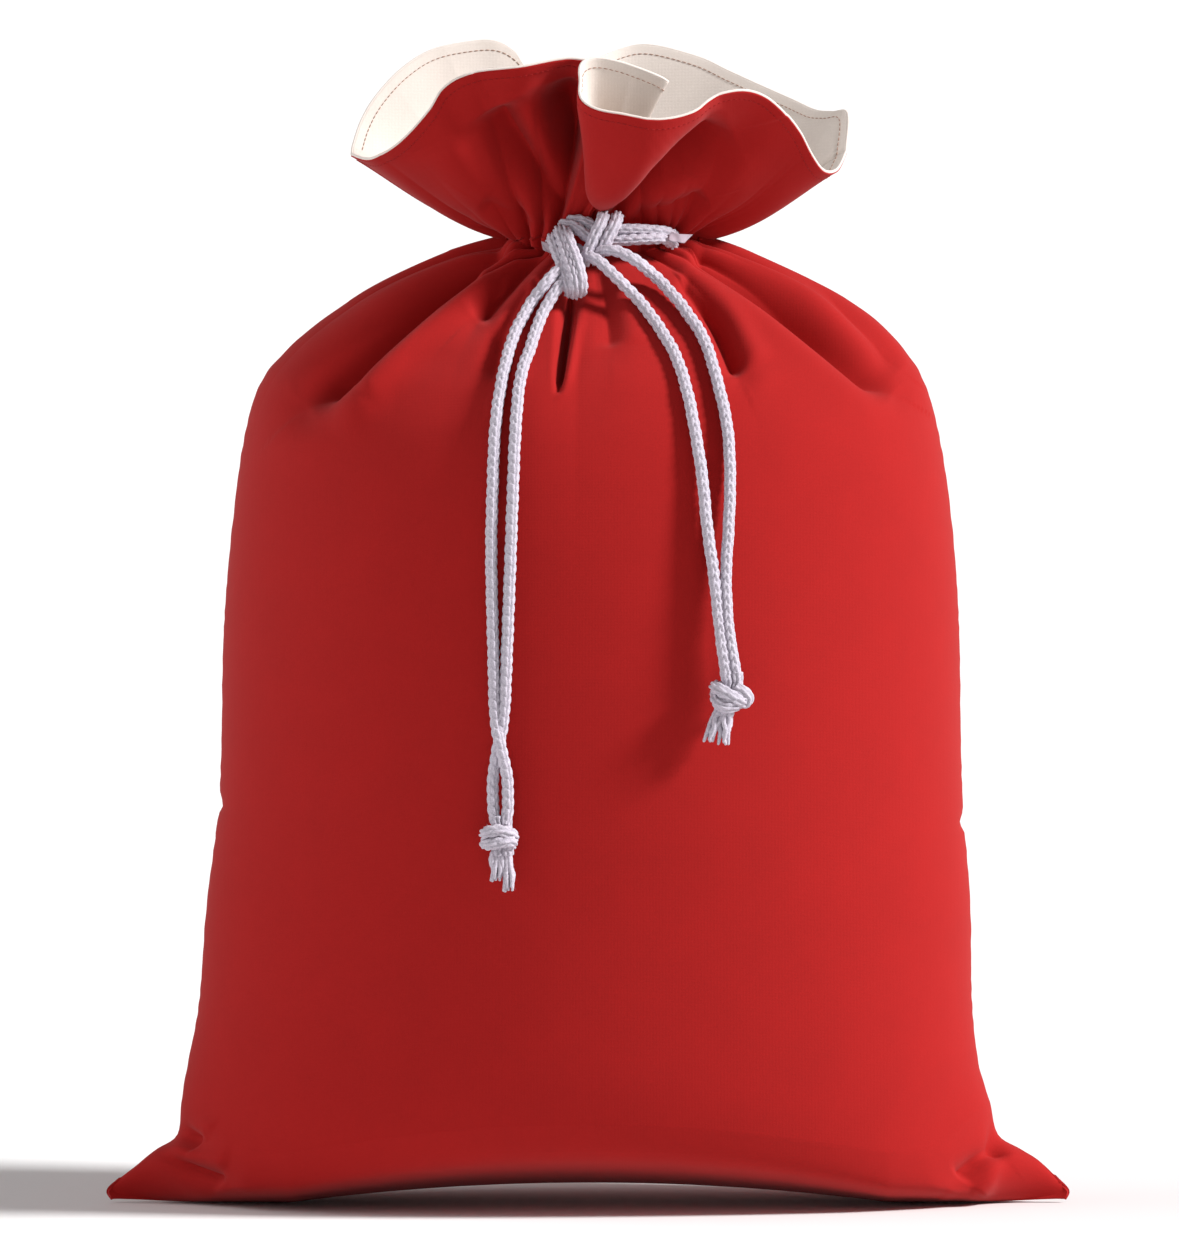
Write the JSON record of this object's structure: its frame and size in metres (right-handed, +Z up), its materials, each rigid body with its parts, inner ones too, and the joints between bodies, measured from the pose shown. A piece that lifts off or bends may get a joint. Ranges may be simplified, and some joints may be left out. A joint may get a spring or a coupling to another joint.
{
  "type": "fabric gift sack",
  "caption": "Lined cotton gift sack, filled out and gathered shut at the neck by two cotton drawcords that are knotted in front, with a ruffled mouth above.",
  "frame": {"origin": "on the surface the sack stands on, under the middle of the sack", "axes": "+Z up through the neck and mouth, -Y out of the front where the cords are knotted, +X to the right seen from the front"},
  "size_m": [0.5008, 0.2635, 0.6],
  "materials": {
    "outer_cotton": "matte woven red cotton",
    "lining_cotton": "matte woven natural cotton",
    "cotton_cord": "braided white cotton, slightly fuzzy"
  },
  "bodies": {
    "sack": {"outer_front_panel": "outer_cotton", "outer_back_panel": "outer_cotton", "lining_front_panel": "lining_cotton", "lining_back_panel": "lining_cotton", "bottom_seam": "outer_cotton", "left_side_seam": "outer_cotton", "right_side_seam": "outer_cotton", "left_collar_seam": "outer_cotton", "right_collar_seam": "outer_cotton", "mouth_hem": "lining_cotton", "left_drawcord_loop": "cotton_cord", "right_drawcord_loop": "cotton_cord", "left_cord_knot": "cotton_cord", "right_cord_knot": "cotton_cord"},
    "left_tail": {"left_tail_outer_strand": "cotton_cord", "left_tail_inner_strand": "cotton_cord", "left_end_knot": "cotton_cord", "left_frayed_end_outer": "cotton_cord", "left_frayed_end_inner": "cotton_cord"},
    "right_tail": {"right_tail_outer_strand": "cotton_cord", "right_tail_inner_strand": "cotton_cord", "right_end_knot": "cotton_cord", "right_frayed_end_outer": "cotton_cord", "right_frayed_end_inner": "cotton_cord"}
  },
  "joints": [
    {"name": "left_tail_lift", "type": "hinge", "parent": "sack", "child": "left_tail", "pos_m": [-0.017, -0.066, 0.482], "axis": [-1, 0, 0], "range_deg": [0, 80]},
    {"name": "right_tail_lift", "type": "hinge", "parent": "sack", "child": "right_tail", "pos_m": [0.0095, -0.067, 0.4945], "axis": [-1, 0, 0], "range_deg": [0, 80]}
  ]
}
